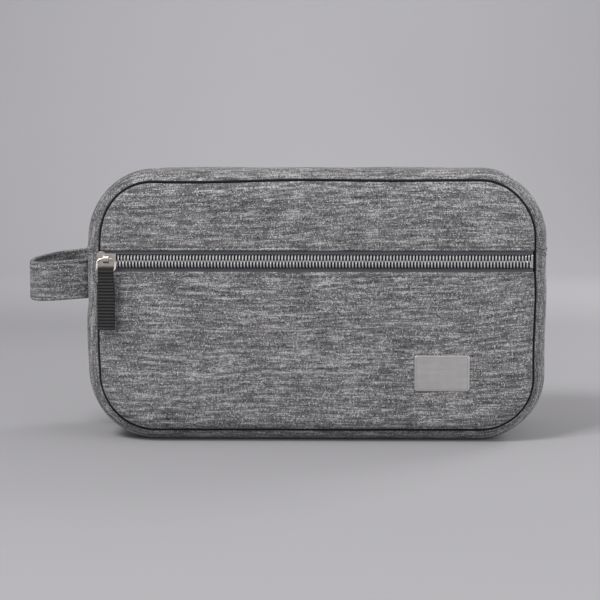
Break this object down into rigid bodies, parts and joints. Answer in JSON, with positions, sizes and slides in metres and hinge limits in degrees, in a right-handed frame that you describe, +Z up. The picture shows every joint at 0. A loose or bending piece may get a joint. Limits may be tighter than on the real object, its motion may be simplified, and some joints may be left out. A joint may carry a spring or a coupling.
{
  "type": "toiletry bag",
  "caption": "Soft padded toiletry bag with a zipped top mouth, a zipped front pocket with a webbing pull, and a strap loop handle on one side.",
  "frame": {"origin": "centre of the base of the bag's body, on the surface that it stands on", "axes": "+X along the bag away from the handle, -Y out of the front that has the pocket, +Z up out of the mouth"},
  "size_m": [0.2894, 0.1018, 0.15],
  "materials": {
    "heather_fabric": "woven grey heather",
    "foam": "soft foam",
    "lining": "smooth woven",
    "binding": "woven tape",
    "tape": "knitted",
    "coil": "metallised nylon",
    "webbing": "ribbed grosgrain",
    "nickel": "satin nickel",
    "badge": "brushed"
  },
  "bodies": {
    "bag_body": {"front_panel_upper": "heather_fabric", "front_panel_lower": "heather_fabric", "pocket_back": "lining", "front_foam": "foam", "front_lining": "lining", "pocket_tape_upper": "tape", "pocket_tape_lower": "tape", "pocket_coil_upper": "coil", "pocket_coil_lower": "coil", "pocket_zip_stop": "nickel", "badge_plate": "badge", "badge_backer": "nickel", "back_panel": "heather_fabric", "back_foam": "foam", "back_lining": "lining", "base_gusset": "heather_fabric", "base_foam": "foam", "base_lining": "lining", "zip_gusset_strip_front": "heather_fabric", "zip_gusset_strip_rear": "heather_fabric", "zip_gusset_foam_front": "foam", "zip_gusset_foam_rear": "foam", "zip_gusset_lining_front": "lining", "zip_gusset_lining_rear": "lining", "piping_front": "binding", "piping_rear": "binding", "seam_binding_front": "binding", "seam_binding_rear": "binding", "end_tab_left": "heather_fabric", "end_tab_right": "heather_fabric", "main_tape_ends": "tape", "main_coil_ends": "coil", "main_zip_stops": "nickel", "handle_anchor_front": "heather_fabric", "handle_anchor_rear": "heather_fabric"},
    "front_lip": {"lip_strip_front": "heather_fabric", "lip_foam_front": "foam", "lip_lining_front": "lining", "main_tape_front": "tape", "main_coil_front": "coil"},
    "rear_lip": {"lip_strip_rear": "heather_fabric", "lip_foam_rear": "foam", "lip_lining_rear": "lining", "main_tape_rear": "tape", "main_coil_rear": "coil"},
    "main_slider": {"main_slider_body": "nickel"},
    "main_ring": {"main_pull_ring": "nickel"},
    "main_tab": {"main_pull_tab": "webbing"},
    "pocket_slider": {"pocket_slider_body": "nickel"},
    "pocket_ring": {"pocket_pull_ring": "nickel"},
    "pocket_tab": {"pocket_pull_tab": "webbing"},
    "handle": {"handle_loop": "heather_fabric"}
  },
  "joints": [
    {"name": "front_lip_fold", "type": "hinge", "parent": "bag_body", "child": "front_lip", "pos_m": [0, -0.03, 0.15], "axis": [1, 0, 0], "range_deg": [0, 100]},
    {"name": "rear_lip_fold", "type": "hinge", "parent": "bag_body", "child": "rear_lip", "pos_m": [0, 0.03, 0.15], "axis": [-1, 0, 0], "range_deg": [0, 100]},
    {"name": "main_zip_slide", "type": "slide", "parent": "bag_body", "child": "main_slider", "axis": [-1, 0, 0], "range_m": [0, 0.14], "deforming": ["main_coil_front", "main_coil_rear", "main_coil_ends"]},
    {"name": "main_ring_flip", "type": "hinge", "parent": "main_slider", "child": "main_ring", "pos_m": [0.07, 0, 0.14695], "axis": [0, -1, 0], "range_deg": [0, 120]},
    {"name": "main_tab_swing", "type": "hinge", "parent": "main_ring", "child": "main_tab", "pos_m": [0.07839, 0, 0.14665], "axis": [0, -1, 0], "range_deg": [0, 55]},
    {"name": "pocket_zip_slide", "type": "slide", "parent": "bag_body", "child": "pocket_slider", "axis": [1, 0, 0], "range_m": [0, 0.216], "deforming": ["pocket_coil_upper", "pocket_coil_lower"]},
    {"name": "pocket_ring_flip", "type": "hinge", "parent": "pocket_slider", "child": "pocket_ring", "pos_m": [-0.114, -0.0507, 0.1009], "axis": [-1, 0, 0], "range_deg": [0, 90]},
    {"name": "pocket_tab_swing", "type": "hinge", "parent": "pocket_ring", "child": "pocket_tab", "pos_m": [-0.114, -0.05215, 0.09487], "axis": [-1, 0, 0], "range_deg": [-4, 80]},
    {"name": "handle_swing", "type": "hinge", "parent": "bag_body", "child": "handle", "pos_m": [-0.1384, 0, 0.0887], "axis": [0, 1, 0], "range_deg": [-30, 40], "stiffness_Nm_per_rad": 0.03}
  ]
}
